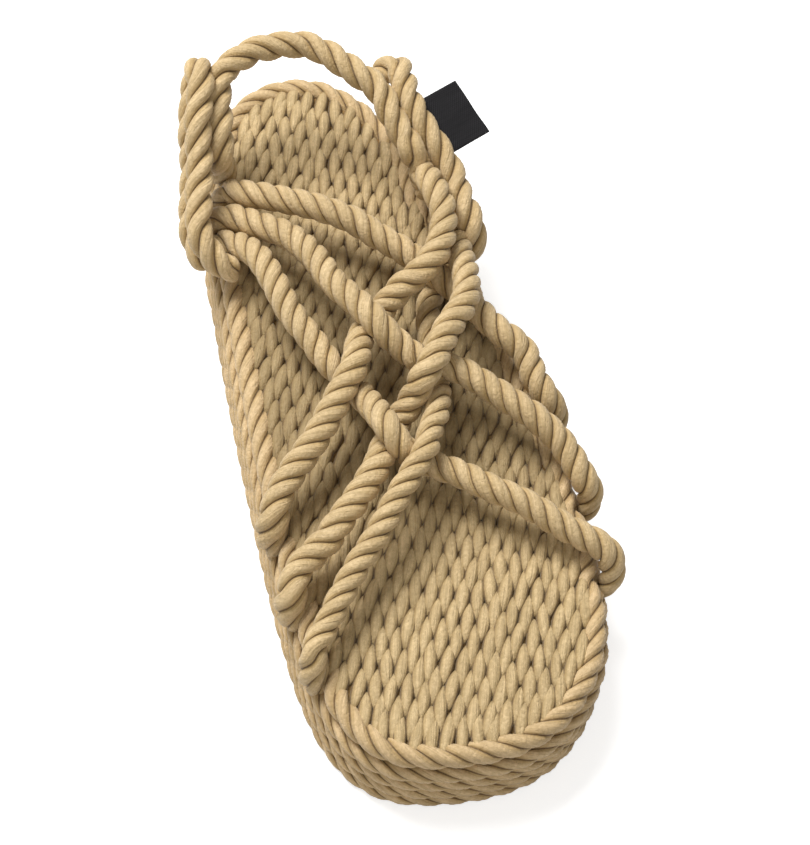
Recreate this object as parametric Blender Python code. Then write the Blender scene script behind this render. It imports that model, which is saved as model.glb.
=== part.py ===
"""Rope sandal for the left foot.

The sole is a flat body of ropes laid side by side along the foot, with five
ropes stacked round its edge. The upper is a web of six ropes, woven over and
under each other from edge to edge, and a rope strap behind the heel.

The toe points along +X, the outer side of the foot is +Y, and the sole stands
on z = 0. Sizes are in metres.
"""

import math

import bmesh
import bpy
import numpy as np
from mathutils import Matrix, Vector

MM = 0.001

# Sole
SOLE_LENGTH = 266 * MM
SOLE_WIDTH = 103 * MM
BORDER_ROPE = 7.0 * MM
EDGE_ROPE = 5.25 * MM
EDGE_ROWS = 4
BORDER_INSET = 1.8 * MM
CORE_ROPE = 4.6 * MM
GROOVE_DEPTH = 1.1 * MM
LAND_WIDTH = 2.2 * MM
GAP = 0.3 * MM

# Upper
STRAP_ROPE = 9.6 * MM
HEEL_ROPE = 9.0 * MM
HEEL_RISE = 34 * MM

# Label
LABEL_LENGTH = 20.5 * MM
LABEL_WIDTH = 15 * MM
LABEL_THICKNESS = 1.0 * MM
LABEL_ALONG = 0.172

SOLE_THICKNESS = EDGE_ROWS * EDGE_ROPE + BORDER_ROPE
BORDER_LEVEL = EDGE_ROWS * EDGE_ROPE
STRAP_RADIUS = STRAP_ROPE / 2
HEEL_RADIUS = HEEL_ROPE / 2
# height of the heel ropes' centre where they pass over the gathered straps
BUNDLE_RISE = 1.22 * STRAP_ROPE + HEEL_RADIUS + 2 * GAP

# Outline of the wall: share of the length from the heel, then the inner and
# the outer side as shares of the width from the line the core ropes follow.
OUTLINE = (
    # along, inner, outer
    (0.000, -0.131, -0.131),
    (0.009, -0.238, -0.015),
    (0.028, -0.316, 0.058),
    (0.058, -0.384, 0.131),
    (0.103, -0.432, 0.194),
    (0.156, -0.447, 0.228),
    (0.209, -0.451, 0.243),
    (0.239, -0.493, 0.286),
    (0.299, -0.496, 0.320),
    (0.412, -0.500, 0.379),
    (0.487, -0.500, 0.417),
    (0.562, -0.498, 0.451),
    (0.637, -0.494, 0.481),
    (0.712, -0.488, 0.500),
    (0.788, -0.475, 0.495),
    (0.840, -0.461, 0.473),
    (0.878, -0.442, 0.447),
    (0.915, -0.413, 0.398),
    (0.953, -0.359, 0.316),
    (0.979, -0.286, 0.223),
    (0.994, -0.189, 0.121),
    (1.000, -0.034, -0.034),
)
OUTLINE_STEPS = 76

# Strap that turns down over the edge, from its thin end beside the border rope
# up to the footbed: out from the wall in strap clearances, up from the footbed
# in strap radii, and the share of the rope's radius that is left
EDGE_TURN = (
    # out, up, radius
    (0.17, -1.30, 0.42),
    (0.24, -0.75, 0.58),
    (0.35, -0.05, 0.84),
    (-0.15, 0.85, 1.00),
)
# how far along the foot each row of the turn lies before the strap's end
TURN_DRIFT = (0.0, 0.15, 0.5, 1.0)

# Ropes of the web: where each one leaves the edge, its points over the foot,
# and where it turns down again. Points hold shares of the length and the
# width, and the height over the footbed in strap diameters.
# end: side (-1 inner, 1 outer), along, drift in shares of the length
STRAPS = {
    "inner_back": {
        "start": (-1, 0.205, 0.000),
        "points": (
            (0.206, -0.408, 0.72),
            (0.213, -0.389, 0.97),
            (0.237, -0.271, 1.32),
            (0.261, -0.160, 1.53),
            (0.284, -0.065, 1.53),
            (0.309, 0.014, 1.38),
            (0.335, 0.094, 1.24),
            (0.376, 0.180, 1.24),
            (0.409, 0.250, 1.09),
            (0.457, 0.314, 1.22),
            (0.487, 0.387, 0.96),
            (0.521, 0.408, 0.66),
        ),
        "end": (1, 0.567, 0.024),
    },
    "inner_middle": {
        "start": (-1, 0.241, 0.000),
        "points": (
            (0.242, -0.456, 0.66),
            (0.248, -0.417, 0.89),
            (0.272, -0.346, 1.22),
            (0.298, -0.275, 1.53),
            (0.340, -0.214, 1.84),
            (0.390, -0.171, 2.10),
            (0.431, -0.108, 2.26),
            (0.450, -0.081, 2.31),
            (0.465, -0.054, 2.16),
            (0.484, 0.002, 1.74),
            (0.499, 0.047, 1.60),
            (0.510, 0.105, 1.58),
            (0.519, 0.163, 1.53),
            (0.558, 0.275, 1.43),
            (0.591, 0.365, 1.27),
            (0.619, 0.433, 0.85),
        ),
        "end": (1, 0.681, 0.024),
    },
    "inner_front": {
        "start": (-1, 0.276, 0.000),
        "points": (
            (0.278, -0.466, 0.64),
            (0.289, -0.427, 0.90),
            (0.315, -0.386, 1.34),
            (0.342, -0.359, 1.49),
            (0.372, -0.339, 1.51),
            (0.409, -0.310, 1.38),
            (0.443, -0.265, 1.27),
            (0.476, -0.224, 1.11),
            (0.496, -0.189, 1.01),
            (0.526, -0.153, 1.17),
            (0.565, -0.126, 1.74),
            (0.599, -0.105, 2.10),
            (0.618, -0.075, 1.80),
            (0.622, -0.029, 1.16),
            (0.633, 0.032, 0.99),
            (0.650, 0.096, 1.11),
            (0.675, 0.170, 1.22),
            (0.699, 0.269, 1.11),
            (0.730, 0.371, 0.85),
        ),
        "end": (1, 0.784, 0.024),
    },
    "outer_back": {
        "start": (1, 0.237, 0.000),
        "points": (
            (0.233, 0.238, 0.70),
            (0.226, 0.203, 1.28),
            (0.238, 0.195, 1.91),
            (0.271, 0.203, 2.32),
            (0.312, 0.212, 2.34),
            (0.359, 0.170, 2.31),
            (0.386, 0.110, 2.21),
            (0.398, 0.042, 1.84),
            (0.415, -0.017, 1.49),
            (0.458, -0.114, 1.57),
            (0.504, -0.159, 1.95),
            (0.530, -0.204, 1.84),
            (0.562, -0.262, 1.64),
            (0.594, -0.325, 1.43),
            (0.624, -0.401, 1.11),
            (0.647, -0.449, 0.78),
        ),
        "end": (-1, 0.681, 0.014),
    },
    "outer_middle": {
        "start": (1, 0.297, 0.000),
        "points": (
            (0.306, 0.267, 0.82),
            (0.333, 0.257, 1.28),
            (0.392, 0.242, 1.95),
            (0.430, 0.222, 2.24),
            (0.452, 0.191, 2.36),
            (0.471, 0.152, 2.42),
            (0.490, 0.118, 2.47),
            (0.509, 0.090, 2.47),
            (0.527, 0.061, 2.47),
            (0.539, 0.030, 2.21),
            (0.546, 0.011, 1.74),
            (0.556, -0.014, 1.38),
            (0.569, -0.047, 1.11),
            (0.607, -0.115, 1.16),
            (0.630, -0.143, 1.39),
            (0.668, -0.216, 1.43),
            (0.702, -0.299, 1.27),
            (0.717, -0.334, 1.11),
            (0.731, -0.388, 0.91),
            (0.749, -0.442, 0.68),
        ),
        "end": (-1, 0.781, 0.014),
    },
    "outer_front": {
        "start": (1, 0.267, 0.000),
        "points": (
            (0.273, 0.252, 0.59),
            (0.299, 0.226, 0.54),
            (0.335, 0.220, 0.53),
            (0.365, 0.187, 0.51),
            (0.396, 0.138, 0.55),
            (0.437, 0.118, 0.57),
            (0.471, 0.113, 0.59),
            (0.519, 0.102, 0.86),
            (0.558, 0.075, 1.43),
            (0.581, 0.056, 1.64),
            (0.603, 0.024, 1.79),
            (0.632, -0.007, 1.95),
            (0.659, -0.062, 1.84),
            (0.691, -0.129, 1.64),
            (0.724, -0.192, 1.43),
            (0.756, -0.264, 1.22),
            (0.789, -0.328, 1.01),
            (0.822, -0.387, 0.80),
            (0.845, -0.432, 0.64),
        ),
        "end": (-1, 0.868, 0.014),
    },
}

# Heel ropes: shares of the length and the width, steps to the side in heel
# diameters (the doubled rope lies one diameter beside its partner), and the
# share of the rise from the gathered straps to the top of the heel strap.
HEEL_STRAP = (
    # along, across, beside, rise
    (0.167, -0.418, 0.0, -1.32),
    (0.167, -0.419, 0.0, -0.72),
    (0.176, -0.427, 0.0, -0.23),
    (0.178, -0.430, 0.0, 0.16),
    (0.166, -0.428, 0.0, 0.38),
    (0.135, -0.409, 0.0, 0.58),
    (0.112, -0.402, 0.0, 0.73),
    (0.091, -0.383, 0.0, 0.91),
    (0.077, -0.339, 0.0, 0.99),
    (0.067, -0.291, 0.0, 1.00),
    (0.062, -0.216, 0.0, 1.00),
    (0.065, -0.124, 0.0, 1.00),
    (0.085, -0.050, 0.0, 1.00),
    (0.112, 0.017, 0.0, 0.96),
    (0.138, 0.072, 0.0, 0.85),
    (0.167, 0.097, 0.0, 0.71),
    (0.182, 0.113, 0.0, 0.59),
    (0.197, 0.133, 0.0, 0.50),
    (0.212, 0.147, 0.0, 0.46),
)
INNER_HITCH = (
    (0.331, -0.366, -1.0, -0.83),
    (0.331, -0.393, -1.0, -0.71),
    (0.322, -0.425, -1.0, -0.47),
    (0.308, -0.448, -1.0, -0.23),
    (0.286, -0.455, -1.0, -0.03),
    (0.262, -0.448, -1.0, 0.10),
    (0.240, -0.440, -1.0, 0.19),
    (0.215, -0.427, -1.0, 0.30),
    (0.191, -0.422, -1.0, 0.44),
    (0.163, -0.416, -1.0, 0.71),
    (0.136, -0.402, -1.0, 0.88),
    (0.112, -0.388, -1.0, 1.03),
    (0.092, -0.388, -1.0, 1.03),
    (0.078, -0.384, -1.0, 0.85),
)
OUTER_HITCH = (
    (0.333, 0.278, 1.0, -1.09),
    (0.332, 0.270, 1.0, -0.72),
    (0.322, 0.262, 1.0, -0.28),
    (0.300, 0.241, 1.0, 0.02),
    (0.273, 0.221, 1.0, 0.05),
    (0.246, 0.212, 1.0, 0.08),
    (0.223, 0.190, 1.0, 0.20),
    (0.200, 0.149, 1.0, 0.41),
    (0.170, 0.109, 1.0, 0.61),
    (0.142, 0.086, 1.0, 0.74),
    (0.118, 0.082, 1.0, 0.77),
    (0.100, 0.078, 1.0, 0.71),
    (0.090, 0.045, 1.0, 0.53),
    (0.092, 0.005, 1.0, 0.30),
)

ROPE_COLOUR = (0.62, 0.46, 0.26, 1.0)
LABEL_COLOUR = (0.02, 0.02, 0.022, 1.0)


# Curves and outlines
def smooth_through(points, steps, closed=False):
    """Points on a centripetal Catmull-Rom curve, `steps` to each span."""
    pts = np.asarray(points, dtype=float)
    if closed:
        pts = np.vstack([pts[-1:], pts, pts[:2]])
    else:
        first = 2 * pts[0] - pts[1]
        last = 2 * pts[-1] - pts[-2]
        pts = np.vstack([first, pts, last])
    out = []
    for p0, p1, p2, p3 in zip(pts, pts[1:], pts[2:], pts[3:]):
        t1 = math.sqrt(np.linalg.norm((p1 - p0)[:3]))
        t2 = t1 + math.sqrt(np.linalg.norm((p2 - p1)[:3]))
        t3 = t2 + math.sqrt(np.linalg.norm((p3 - p2)[:3]))
        for t in np.linspace(t1, t2, steps, endpoint=False):
            a1 = p0 + (p1 - p0) * t / t1
            a2 = p1 + (p2 - p1) * (t - t1) / (t2 - t1)
            a3 = p2 + (p3 - p2) * (t - t2) / (t3 - t2)
            b1 = a1 + (a2 - a1) * t / t2
            b2 = a2 + (a3 - a2) * (t - t1) / (t3 - t1)
            out.append(b1 + (b2 - b1) * (t - t1) / (t2 - t1))
    if not closed:
        out.append(pts[-2])
    return np.array(out)


def evenly(points, count, closed=False):
    """`count` points at equal lengths along a fine polyline."""
    pts = np.asarray(points)
    if closed:
        pts = np.vstack([pts, pts[:1]])
    lengths = np.linalg.norm(np.diff(pts[:, :3], axis=0), axis=1)
    run = np.concatenate([[0.0], np.cumsum(lengths)])
    wanted = np.linspace(0.0, run[-1], count, endpoint=not closed)
    return np.stack([np.interp(wanted, run, column) for column in pts.T], axis=1)


def length_to_x(along):
    return (along - 0.5) * SOLE_LENGTH


def wall_outline():
    """The wall in plan, from the heel up the outer side and back."""
    outer = [(length_to_x(a), o * SOLE_WIDTH) for a, _, o in OUTLINE]
    inner = [(length_to_x(a), i * SOLE_WIDTH) for a, i, _ in OUTLINE[1:-1]]
    fine = smooth_through(outer + inner[::-1], 16, closed=True)
    return evenly(fine, OUTLINE_STEPS, closed=True)


def outward_normals(outline):
    ahead = np.roll(outline, -1, axis=0) - np.roll(outline, 1, axis=0)
    ahead /= np.linalg.norm(ahead, axis=1)[:, None]
    return np.stack([-ahead[:, 1], ahead[:, 0]], axis=1)


WALL = wall_outline()
WALL_NORMALS = outward_normals(WALL)


def inset_outline(inset):
    """The wall's outline moved inwards by a distance."""
    return WALL - WALL_NORMALS * inset


def wall_at(side, along):
    """Point and outward normal of the wall on one side, at a share of the length."""
    on_side = WALL_NORMALS[:, 1] * side > 0
    order = np.argsort(WALL[on_side, 0])
    x = WALL[on_side, 0][order]
    y = WALL[on_side, 1][order]
    nx = WALL_NORMALS[on_side, 0][order]
    ny = WALL_NORMALS[on_side, 1][order]
    at = length_to_x(along)
    point = np.array([at, np.interp(at, x, y)])
    normal = np.array([np.interp(at, x, nx), np.interp(at, x, ny)])
    return point, normal / np.linalg.norm(normal)


# Blender helpers
def new_material(name, colour, roughness):
    material = bpy.data.materials.new(name)
    material.use_nodes = True
    shader = material.node_tree.nodes["Principled BSDF"]
    shader.inputs["Base Color"].default_value = colour
    shader.inputs["Roughness"].default_value = roughness
    shader.inputs["Metallic"].default_value = 0.0
    return material


def new_collection(name):
    collection = bpy.data.collections.new(name)
    bpy.context.scene.collection.children.link(collection)
    return collection


def move_to(obj, collection):
    for owner in list(obj.users_collection):
        owner.objects.unlink(obj)
    collection.objects.link(obj)


def rope_curve(name, points, diameter, collection, closed=False, resolution=2):
    """A round rope along points; a fourth column thins it at each point."""
    curve = bpy.data.curves.new(name, "CURVE")
    curve.dimensions = "3D"
    curve.bevel_depth = diameter / 2
    curve.bevel_resolution = resolution
    curve.use_fill_caps = not closed
    curve.twist_mode = "Z_UP" if closed else "MINIMUM"
    spline = curve.splines.new("POLY")
    spline.points.add(len(points) - 1)
    for target, point in zip(spline.points, points):
        target.co = (point[0], point[1], point[2], 1.0)
        target.radius = point[3] if len(point) > 3 else 1.0
    spline.use_cyclic_u = closed
    spline.use_smooth = True
    obj = bpy.data.objects.new(name, curve)
    collection.objects.link(obj)
    return obj


def curve_to_mesh(obj):
    """The same object as one welded mesh, in place of its curve."""
    bpy.context.view_layer.update()
    evaluated = obj.evaluated_get(bpy.context.evaluated_depsgraph_get())
    mesh = bpy.data.meshes.new_from_object(evaluated)
    build = bmesh.new()
    build.from_mesh(mesh)
    bmesh.ops.remove_doubles(build, verts=build.verts, dist=0.00001)
    bmesh.ops.recalc_face_normals(build, faces=build.faces)
    build.to_mesh(mesh)
    build.free()
    name = obj.name
    solid = bpy.data.objects.new(name + "_solid", mesh)
    solid.matrix_world = obj.matrix_world
    obj.users_collection[0].objects.link(solid)
    bpy.data.objects.remove(obj)
    solid.name = name
    return solid


def apply_boolean(target, other, operation):
    """Joins to or cuts from the target, and takes the other object away."""
    modifier = target.modifiers.new("join", "BOOLEAN")
    modifier.operation = operation
    modifier.solver = "EXACT"
    modifier.object = other
    bpy.context.view_layer.update()
    evaluated = target.evaluated_get(bpy.context.evaluated_depsgraph_get())
    mesh = bpy.data.meshes.new_from_object(evaluated)
    target.modifiers.clear()
    target.data = mesh
    bpy.data.objects.remove(other)


def plate(name, outline, low, high, collection):
    """A flat outline with a thickness, from one height to another."""
    curve = bpy.data.curves.new(name, "CURVE")
    curve.dimensions = "2D"
    curve.fill_mode = "BOTH"
    curve.extrude = (high - low) / 2
    spline = curve.splines.new("POLY")
    spline.points.add(len(outline) - 1)
    for target, (x, y) in zip(spline.points, outline):
        target.co = (x, y, 0.0, 1.0)
    spline.use_cyclic_u = True
    obj = bpy.data.objects.new(name, curve)
    obj.location.z = (low + high) / 2
    collection.objects.link(obj)
    return curve_to_mesh(obj)


def groove_cutters(name, level, facing, collection):
    """Long wedges between the core ropes, on the top or on the bottom.

    Each wedge is a flat triangle in the cross section, drawn out along the
    whole sole. `facing` is 1 for the top and -1 for the bottom.
    """
    curve = bpy.data.curves.new(name, "CURVE")
    curve.dimensions = "2D"
    curve.fill_mode = "BOTH"
    curve.extrude = SOLE_LENGTH
    half_mouth = (CORE_ROPE - LAND_WIDTH) / 2
    slope = GROOVE_DEPTH / half_mouth
    over = GAP
    columns = math.ceil(SOLE_WIDTH / CORE_ROPE / 2)
    for column in range(-columns, columns + 1):
        middle = (column + 0.5) * CORE_ROPE
        spread = half_mouth + over / slope
        spline = curve.splines.new("POLY")
        spline.points.add(2)
        spline.points[0].co = (middle - spread, over, 0.0, 1.0)
        spline.points[1].co = (middle + spread, over, 0.0, 1.0)
        spline.points[2].co = (middle, -GROOVE_DEPTH, 0.0, 1.0)
        spline.use_cyclic_u = True
    obj = bpy.data.objects.new(name, curve)
    across = Vector((0.0, 1.0, 0.0))
    up = Vector((0.0, 0.0, float(facing)))
    turn = Matrix((across, up, across.cross(up))).transposed()
    obj.matrix_world = Matrix.Translation((0.0, 0.0, level)) @ turn.to_4x4()
    collection.objects.link(obj)
    solid = curve_to_mesh(obj)
    solid.hide_render = True
    solid.display_type = "WIRE"
    return solid


# Sole
def make_core(parts, cutters, material):
    """The body of the sole, stepped in under the border rope and grooved."""
    side_inset = EDGE_ROPE + GAP
    top_inset = BORDER_INSET + BORDER_ROPE + GAP
    ledge = BORDER_LEVEL - GAP / 2
    core = plate("sole_core", inset_outline(side_inset), 0.0, ledge, parts)
    upper = plate("core_top", inset_outline(top_inset), ledge / 2, SOLE_THICKNESS, cutters)
    apply_boolean(core, upper, "UNION")
    top_cutter = groove_cutters("top_grooves", SOLE_THICKNESS, 1, cutters)
    apply_boolean(core, top_cutter, "DIFFERENCE")
    bottom_cutter = groove_cutters("bottom_grooves", 0.0, -1, cutters)
    apply_boolean(core, bottom_cutter, "DIFFERENCE")
    core.data.materials.clear()
    core.data.materials.append(material)
    return core


def make_ring(name, inset, level, diameter, resolution, parts, material):
    """A rope laid round the sole at one height."""
    path = inset_outline(inset)
    heights = np.full((len(path), 1), level)
    ring = rope_curve(name, np.hstack([path, heights]), diameter, parts,
                      closed=True, resolution=resolution)
    ring.data.materials.append(material)
    return ring


def make_edge_ropes(parts, material):
    border = make_ring("border_rope", BORDER_INSET + BORDER_ROPE / 2,
                       BORDER_LEVEL + BORDER_ROPE / 2, BORDER_ROPE - GAP, 2,
                       parts, material)
    rings = [border]
    for row in range(EDGE_ROWS):
        level = BORDER_LEVEL - (row + 0.5) * EDGE_ROPE
        rings.append(make_ring(f"edge_rope_{row + 1}", EDGE_ROPE / 2, level,
                               EDGE_ROPE - GAP, 1, parts, material))
    return rings


# Upper
def edge_turn(side, along, drift):
    """Points of a strap that comes up beside the border rope and over it."""
    clearance = STRAP_RADIUS + 2 * GAP
    points = []
    for (out, up, radius), back in zip(EDGE_TURN, TURN_DRIFT):
        wall, normal = wall_at(side, along - back * drift)
        x, y = wall + normal * out * clearance
        points.append((x, y, SOLE_THICKNESS + up * STRAP_RADIUS, radius))
    return points


def strap_points(strap):
    start = edge_turn(*strap["start"])
    end = edge_turn(*strap["end"])
    middle = []
    for along, across, rise in strap["points"]:
        height = SOLE_THICKNESS + GAP + rise * STRAP_ROPE
        middle.append((length_to_x(along), across * SOLE_WIDTH, height, 1.0))
    return start + middle + end[::-1]


def smooth_rope(points, spacing):
    """Even points on a smooth curve through a rope's own points."""
    fine = smooth_through(points, 12)
    total = np.linalg.norm(np.diff(fine[:, :3], axis=0), axis=1).sum()
    return evenly(fine, max(4, round(total / spacing) + 1))


def make_web(parts, cutters, material):
    """The six crossing ropes, joined where they touch."""
    web = None
    for name, strap in STRAPS.items():
        path = smooth_rope(strap_points(strap), 0.62 * STRAP_ROPE)
        home = parts if web is None else cutters
        rope = curve_to_mesh(rope_curve(name, path, STRAP_ROPE, home))
        if web is None:
            web = rope
        else:
            apply_boolean(web, rope, "UNION")
    web.name = "strap_web"
    web.data.materials.clear()
    web.data.materials.append(material)
    web.data.shade_smooth()
    return web


def heel_points(table):
    """Points of a heel rope from its shares; below the bundle it comes down."""
    side_step = HEEL_ROPE + GAP
    down = BUNDLE_RISE - HEEL_RADIUS
    points = []
    for along, across, beside, rise in table:
        reach = (HEEL_RISE - BUNDLE_RISE) if rise > 0 else down
        height = SOLE_THICKNESS + BUNDLE_RISE + rise * reach
        points.append((length_to_x(along), across * SOLE_WIDTH + beside * side_step, height))
    return points


def make_heel_ropes(parts, material):
    ropes = []
    tables = (("heel_strap", HEEL_STRAP), ("inner_hitch", INNER_HITCH), ("outer_hitch", OUTER_HITCH))
    for name, table in tables:
        path = smooth_rope(heel_points(table), 0.66 * HEEL_ROPE)
        rope = rope_curve(name, path, HEEL_ROPE, parts)
        rope.data.materials.append(material)
        ropes.append(rope)
    return ropes


def make_label(parts, material):
    """A thin woven tab on the outer side of the outer hitch rope."""
    path = smooth_rope(heel_points(OUTER_HITCH), 0.2 * HEEL_ROPE)
    nearest = np.argmin(np.abs(path[:, 0] - length_to_x(LABEL_ALONG)))
    centre = Vector(path[nearest])
    ahead = (Vector(path[nearest + 6]) - Vector(path[nearest - 6])).normalized()
    out = Vector((0.0, 0.0, 1.0)).cross(ahead).normalized()
    if out.y < 0:
        out.negate()
    up = ahead.cross(out)
    offsets = path - np.array(centre)
    beside = np.abs(offsets @ np.array(ahead)) < LABEL_LENGTH / 2
    bulge = (offsets[beside] @ np.array(out)).max()
    middle = centre + out * (bulge + HEEL_RADIUS + 2 * GAP + LABEL_WIDTH / 2)
    bpy.ops.mesh.primitive_cube_add(size=1.0)
    label = bpy.context.active_object
    label.name = "label"
    move_to(label, parts)
    size = Matrix.Diagonal((LABEL_LENGTH, LABEL_WIDTH, LABEL_THICKNESS, 1.0))
    turn = Matrix((ahead, out, up)).transposed().to_4x4()
    label.data.transform(turn @ size)
    label.location = middle
    if turn.determinant() < 0:
        label.data.flip_normals()
    label.data.materials.append(material)
    return label


def stand_at_origin(objects):
    """Puts the middle of the whole shoe's floor area at the origin."""
    bpy.context.view_layer.update()
    graph = bpy.context.evaluated_depsgraph_get()
    corners = []
    for obj in objects:
        mesh = obj.evaluated_get(graph).to_mesh()
        verts = np.empty(len(mesh.vertices) * 3)
        mesh.vertices.foreach_get("co", verts)
        world = np.array(obj.matrix_world)
        places = verts.reshape(-1, 3) @ world[:3, :3].T + world[:3, 3]
        corners += [places.min(axis=0), places.max(axis=0)]
    low = np.min(corners, axis=0)
    high = np.max(corners, axis=0)
    root = bpy.data.objects.new("sandal_root", None)
    bpy.context.scene.collection.objects.link(root)
    for obj in objects:
        obj.parent = root
    root.location = (-(low[0] + high[0]) / 2, -(low[1] + high[1]) / 2, -low[2])


def main():
    for obj in list(bpy.data.objects):
        bpy.data.objects.remove(obj, do_unlink=True)
    parts = new_collection("rope_sandal")
    cutters = new_collection("cutters")
    rope = new_material("laid_rope", ROPE_COLOUR, 0.62)
    label = new_material("woven_label", LABEL_COLOUR, 0.7)
    objects = [make_core(parts, cutters, rope)]
    objects += make_edge_ropes(parts, rope)
    objects.append(make_web(parts, cutters, rope))
    objects += make_heel_ropes(parts, rope)
    objects.append(make_label(parts, label))
    stand_at_origin(objects)


main()
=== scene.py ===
"""Rope sandal: every rope as its three twisted strands, the woven label, light and camera.

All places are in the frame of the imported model: the toe points along +X, the
outer side of the foot is +Y, the floor is z = 0, and lengths are in metres.
"""

import math

import bpy
import numpy as np
from mathutils import Matrix, Vector


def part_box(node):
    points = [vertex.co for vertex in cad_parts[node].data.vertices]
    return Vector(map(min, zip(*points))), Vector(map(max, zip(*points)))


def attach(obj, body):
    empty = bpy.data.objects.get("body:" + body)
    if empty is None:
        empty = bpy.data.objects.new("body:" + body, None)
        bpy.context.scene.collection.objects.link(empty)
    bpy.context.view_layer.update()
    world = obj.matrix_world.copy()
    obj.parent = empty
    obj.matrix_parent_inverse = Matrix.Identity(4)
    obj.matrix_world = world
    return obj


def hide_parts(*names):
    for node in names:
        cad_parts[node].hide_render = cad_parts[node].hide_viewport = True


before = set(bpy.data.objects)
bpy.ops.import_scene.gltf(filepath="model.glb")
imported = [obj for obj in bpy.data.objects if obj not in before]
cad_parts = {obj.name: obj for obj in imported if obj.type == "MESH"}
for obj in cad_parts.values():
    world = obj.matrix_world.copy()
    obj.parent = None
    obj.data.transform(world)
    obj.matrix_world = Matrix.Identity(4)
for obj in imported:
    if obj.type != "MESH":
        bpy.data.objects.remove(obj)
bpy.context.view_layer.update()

MM = 0.001

# Sizes of the sandal
SOLE_LENGTH = 266 * MM
SOLE_WIDTH = 103 * MM
BORDER_ROPE = 7.0 * MM
EDGE_ROPE = 5.25 * MM
EDGE_ROWS = 4
BORDER_INSET = 1.8 * MM
CORE_ROPE = 4.6 * MM
GAP = 0.3 * MM
STRAP_ROPE = 9.6 * MM
HEEL_ROPE = 9.0 * MM
HEEL_RISE = 34 * MM
LABEL_LENGTH = 20.5 * MM
LABEL_WIDTH = 15 * MM
LABEL_THICKNESS = 1.0 * MM
LABEL_ALONG = 0.172
LABEL_FORWARD = 4.6 * MM

# The label is tucked in beside its rope, and its free side waves and sags
LABEL_TUCK = 0.7 * MM
LABEL_WAVE = 0.14 * MM
LABEL_SAG = 0.6 * MM

SOLE_THICKNESS = EDGE_ROWS * EDGE_ROPE + BORDER_ROPE
BORDER_LEVEL = EDGE_ROWS * EDGE_ROPE
STRAP_RADIUS = STRAP_ROPE / 2
HEEL_RADIUS = HEEL_ROPE / 2
BUNDLE_RISE = 1.22 * STRAP_ROPE + HEEL_RADIUS + 2 * GAP

# Lay of each kind of rope: the length in which a strand goes once round
BORDER_LAY = 24.6 * MM
EDGE_LAY = 24.0 * MM
HEEL_LAY = 25.0 * MM

# How much thicker than its rope each kind swells at the crests of its strands;
# the lowest row is pressed flat and lies a little higher
BORDER_SWELLING = 1.10
ROW_SWELLING = 1.08
LOWEST_SWELLING = 1.03
LOWEST_LIFT = 0.28 * MM
HEEL_SWELLING = 1.03

# Half the depth of a strand, as a share of its rope's radius
STRAP_FULLNESS = 0.505
HEEL_FULLNESS = 0.49
EDGE_FULLNESS = 0.53

# Length of a grid step along each kind of rope
STRAP_STEP = 0.75 * MM
BORDER_STEP = 0.9 * MM
ROW_STEP = 1.0 * MM

# Border rope where a strap goes past it: how far it gives way, and over what length
BORDER_PUSH = 2.0 * MM
BORDER_DROP = 0.8 * MM
STRAP_ROOM = 5.5 * MM

# Strands of the lengthwise ropes, as they show on the footbed
STRAND_PITCH = 8.3 * MM
STRAND_STEP = 0.26
STRAND_LENGTH = 15.6 * MM
STRAND_WIDTH = 4.6 * MM
STRAND_HEIGHT = 3.6 * MM
STRAND_LEAN = math.radians(19)
STRAND_DIP = 0.55 * MM

# How far a strand's height, side place and tips differ from those of its neighbours
HEIGHT_WANDER = 0.10 * MM
SIDE_WANDER = 0.16 * MM
TIP_WANDER = 0.35 * MM

# Camera, as a photographer would set it down: where it looks, from which side
# and height, how far away, how much it is rolled, and its lens
LOOK_AT = (7.5 * MM, 2.8 * MM, 20 * MM)
CAMERA_PLACE = (481.0 * MM, -163.3 * MM, 772.6 * MM)
CAMERA_ROLL = math.radians(9.97)
LENS = 126.2
SENSOR = 36.0

# Outline of the wall: share of the length from the heel, then the inner and
# the outer side as shares of the width from the line the core ropes follow.
OUTLINE = (
    # along, inner, outer
    (0.000, -0.131, -0.131),
    (0.009, -0.238, -0.015),
    (0.028, -0.316, 0.058),
    (0.058, -0.384, 0.131),
    (0.103, -0.432, 0.194),
    (0.156, -0.447, 0.228),
    (0.209, -0.451, 0.243),
    (0.239, -0.493, 0.286),
    (0.299, -0.496, 0.320),
    (0.412, -0.500, 0.379),
    (0.487, -0.500, 0.417),
    (0.562, -0.498, 0.451),
    (0.637, -0.494, 0.481),
    (0.712, -0.488, 0.500),
    (0.788, -0.475, 0.495),
    (0.840, -0.461, 0.473),
    (0.878, -0.442, 0.447),
    (0.915, -0.413, 0.398),
    (0.953, -0.359, 0.316),
    (0.979, -0.286, 0.223),
    (0.994, -0.189, 0.121),
    (1.000, -0.034, -0.034),
)

# Straps that turn down over the edge, from inside the wall up to the footbed:
# out from the wall in strap clearances, up from the footbed in strap radii, the
# share of the rope's radius that is left, and the share of the drift
INNER_TURN = (
    # out, up, radius, drift
    (-0.70, -2.10, 0.60, 0.00),
    (-0.42, -1.30, 0.88, 0.10),
    (-0.22, -0.20, 1.05, 0.50),
    (-0.40, 0.85, 1.06, 1.00),
)
OUTER_TURN = (
    (-0.20, -2.20, 0.50, 0.00),
    (0.16, -1.40, 0.78, 0.10),
    (0.30, -0.20, 0.96, 0.50),
    (-0.10, 0.85, 1.00, 1.00),
)

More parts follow.
